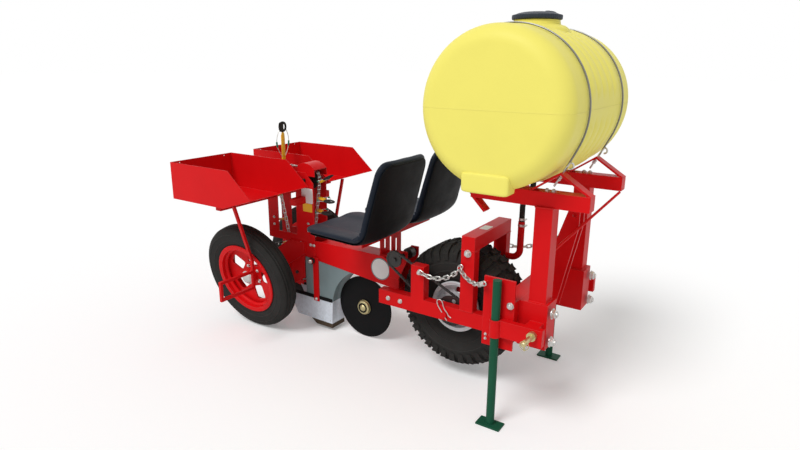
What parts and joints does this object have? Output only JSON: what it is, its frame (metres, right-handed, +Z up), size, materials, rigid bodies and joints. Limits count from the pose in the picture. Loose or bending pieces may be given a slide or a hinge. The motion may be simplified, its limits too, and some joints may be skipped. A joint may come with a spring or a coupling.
{
  "type": "bare root transplanter",
  "caption": "Hitch-mounted planter: a water drum over a toolbar, a lugged drive wheel, rear-facing seats, seedling trays, a clip chain, a furrow shoe and leaning packing wheels.",
  "frame": {"origin": "middle of the machine's length and width, on the floor it parks on", "axes": "+X forward to the tractor, +Y to the machine's left, +Z up"},
  "size_m": [2.3109, 1.21, 1.8076],
  "materials": {
    "red_paint": "gloss enamel",
    "green_paint": "gloss enamel",
    "white_paint": "gloss enamel",
    "black_paint": "satin enamel",
    "grey_paint": "satin enamel",
    "zinc_steel": "zinc plated",
    "galvanised": "galvanised sheet",
    "tank_plastic": "rotary moulded",
    "lid_plastic": "moulded",
    "seat_plastic": "grained",
    "clip_plastic": "moulded",
    "black_rubber": "matt",
    "tyre_rubber": "matt"
  },
  "bodies": {
    "frame": {"arch_post_left": "red_paint", "arch_post_right": "red_paint", "arch_top": "red_paint", "clip_arms": "clip_plastic", "clip_pads": "black_rubber", "coulter_arm": "red_paint", "drive_axle": "zinc_steel", "drive_chain": "zinc_steel", "foot_rest_left": "red_paint", "foot_rest_right": "red_paint", "hitch_bracket_left": "red_paint", "hitch_bracket_right": "red_paint", "hitch_pins": "zinc_steel", "hitch_post_left": "red_paint", "hitch_post_right": "red_paint", "jack_bracket": "red_paint", "jack_shaft": "zinc_steel", "lift_chain_left": "zinc_steel", "lift_chain_right": "zinc_steel", "loop_sprockets": "zinc_steel", "main_beam": "red_paint", "packing_arm_left": "red_paint", "packing_arm_right": "red_paint", "planting_chain": "zinc_steel", "rail_cross_tie": "red_paint", "seat_left": "seat_plastic", "seat_pedestal": "red_paint", "seat_right": "seat_plastic", "shoe_frame": "grey_paint", "shoe_runner": "grey_paint", "shoe_skirt": "galvanised", "shoe_struts": "red_paint", "side_rail_left": "red_paint", "side_rail_right": "red_paint", "sway_rod": "red_paint", "tank": "tank_plastic", "tank_cradle_left": "red_paint", "tank_cradle_right": "red_paint", "tank_straps": "zinc_steel", "toolbar": "red_paint", "top_link_mast": "red_paint", "tower_guard": "red_paint", "tower_plate_left": "red_paint", "tower_plate_right": "red_paint", "tray_carriers": "red_paint", "tray_left": "red_paint", "tray_right": "red_paint", "water_hose": "black_rubber", "water_pipe": "red_paint"},
    "drive_wheel": {"drive_tyre": "tyre_rubber", "drive_rim": "white_paint", "hub_sprocket": "zinc_steel"},
    "coulter": {"coulter_disc": "black_paint"},
    "lid": {"tank_lid": "lid_plastic"},
    "packing_wheel_left": {"packing_tyre_left": "tyre_rubber", "packing_rim_left": "red_paint"},
    "stand_leg_left": {"stand_left": "green_paint"},
    "packing_wheel_right": {"packing_tyre_right": "tyre_rubber", "packing_rim_right": "red_paint"},
    "stand_leg_right": {"stand_right": "green_paint"}
  },
  "joints": [
    {"name": "drive_wheel_spin", "type": "hinge", "parent": "frame", "child": "drive_wheel", "pos_m": [0.4795, 0, 0.387], "axis": [0, 1, 0], "continuous": true},
    {"name": "coulter_spin", "type": "hinge", "parent": "frame", "child": "coulter", "pos_m": [-0.1645, 0, 0.19306], "axis": [0, 1, 0], "continuous": true},
    {"name": "lid_lift", "type": "slide", "parent": "frame", "child": "lid", "axis": [0, 0, 1], "range_m": [0, 0.12]},
    {"name": "packing_wheel_left_spin", "type": "hinge", "parent": "frame", "child": "packing_wheel_left", "pos_m": [-0.8255, 0.266, 0.33053], "axis": [0, 0.9823, -0.1874], "continuous": true},
    {"name": "stand_left_slide", "type": "slide", "parent": "frame", "child": "stand_leg_left", "axis": [0, 0, 1], "range_m": [0, 0.35]},
    {"name": "packing_wheel_right_spin", "type": "hinge", "parent": "frame", "child": "packing_wheel_right", "pos_m": [-0.8255, -0.266, 0.33053], "axis": [0, 0.9823, 0.1874], "continuous": true},
    {"name": "stand_right_slide", "type": "slide", "parent": "frame", "child": "stand_leg_right", "axis": [0, 0, 1], "range_m": [0, 0.35]}
  ]
}
